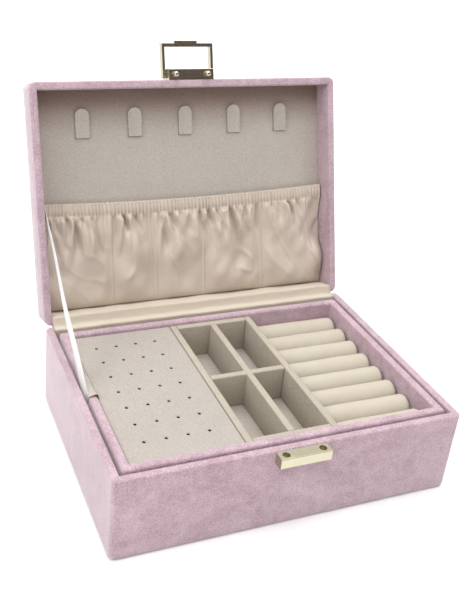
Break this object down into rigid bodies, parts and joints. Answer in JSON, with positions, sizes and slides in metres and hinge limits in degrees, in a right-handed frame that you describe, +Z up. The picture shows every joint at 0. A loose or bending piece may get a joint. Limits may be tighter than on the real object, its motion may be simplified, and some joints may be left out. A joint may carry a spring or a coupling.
{
  "type": "jewelry box",
  "caption": "Rectangular velvet-covered jewelry box with a hinged lid on a stay ribbon, a swing-loop clasp and a lift-out tray for earrings, small pieces and rings.",
  "frame": {"origin": "centre of the base's underside, on the table", "axes": "+Z up, -Y towards the clasp side, +X to the right seen from the clasp side; the lid stands open"},
  "size_m": [0.23, 0.2479, 0.2383],
  "materials": {
    "pink_velvet": "short-pile velvet",
    "beige_suede": "fine suede cloth",
    "roll_cloth": "soft brushed cloth",
    "pocket_satin": "thin lining cloth, gathered",
    "elastic": "woven elastic",
    "white_ribbon": "satin ribbon",
    "underside_felt": "pressed felt",
    "greyboard": "raw board, hidden by cloth",
    "pale_gold": "polished plating",
    "plated_steel": "plated"
  },
  "bodies": {
    "base": {"base_back_board": "greyboard", "base_bottom_board": "greyboard", "base_front_board": "greyboard", "base_left_board": "greyboard", "base_right_board": "greyboard", "base_underside_cover": "underside_felt", "base_velvet_wrap": "pink_velvet", "clasp_keeper": "pale_gold", "hinge_cloth": "beige_suede", "keeper_screws": "plated_steel", "lower_back_liner": "beige_suede", "lower_floor_lining": "beige_suede", "lower_front_liner": "beige_suede", "lower_left_liner": "beige_suede", "lower_right_liner": "beige_suede", "stay_ribbon": "white_ribbon", "velvet_spine": "pink_velvet"},
    "lid": {"block_screws": "plated_steel", "clasp_block": "pale_gold", "hasp_pins": "plated_steel", "lid_back_board": "greyboard", "lid_front_board": "greyboard", "lid_left_board": "greyboard", "lid_lining_panel": "beige_suede", "lid_right_board": "greyboard", "lid_top_board": "greyboard", "lid_velvet_wrap": "pink_velvet", "necklace_tab_1": "beige_suede", "necklace_tab_2": "beige_suede", "necklace_tab_3": "beige_suede", "necklace_tab_4": "beige_suede", "necklace_tab_5": "beige_suede", "pocket_cloth": "pocket_satin", "pocket_elastic": "elastic"},
    "hasp": {"hasp_loop": "pale_gold"},
    "tray": {"earring_pad": "beige_suede", "insert_back_wall": "beige_suede", "insert_cross_divider": "beige_suede", "insert_front_wall": "beige_suede", "insert_left_wall": "beige_suede", "insert_long_divider": "beige_suede", "insert_right_wall": "beige_suede", "pad_risers": "greyboard", "ring_roll_1": "roll_cloth", "ring_roll_2": "roll_cloth", "ring_roll_3": "roll_cloth", "ring_roll_4": "roll_cloth", "ring_roll_5": "roll_cloth", "ring_roll_6": "roll_cloth", "ring_roll_7": "roll_cloth", "ring_roll_8": "roll_cloth", "tray_back_board": "greyboard", "tray_floor_board": "greyboard", "tray_front_board": "greyboard", "tray_left_board": "greyboard", "tray_pull_tab": "beige_suede", "tray_right_board": "greyboard", "tray_velvet_wrap": "pink_velvet"}
  },
  "joints": [
    {"name": "lid_hinge", "type": "hinge", "parent": "base", "child": "lid", "pos_m": [0, 0.0825, 0.0592], "axis": [-1, 0, 0], "range_deg": [-108.6, 0], "deforming": ["stay_ribbon", "hinge_cloth", "velvet_spine"]},
    {"name": "hasp_swing", "type": "hinge", "parent": "lid", "child": "hasp", "pos_m": [0, 0.14552, 0.21604], "axis": [-1, 0, 0], "range_deg": [-90, 85]},
    {"name": "tray_lift", "type": "slide", "parent": "base", "child": "tray", "axis": [0, 0, 1], "range_m": [0, 0.07]}
  ]
}
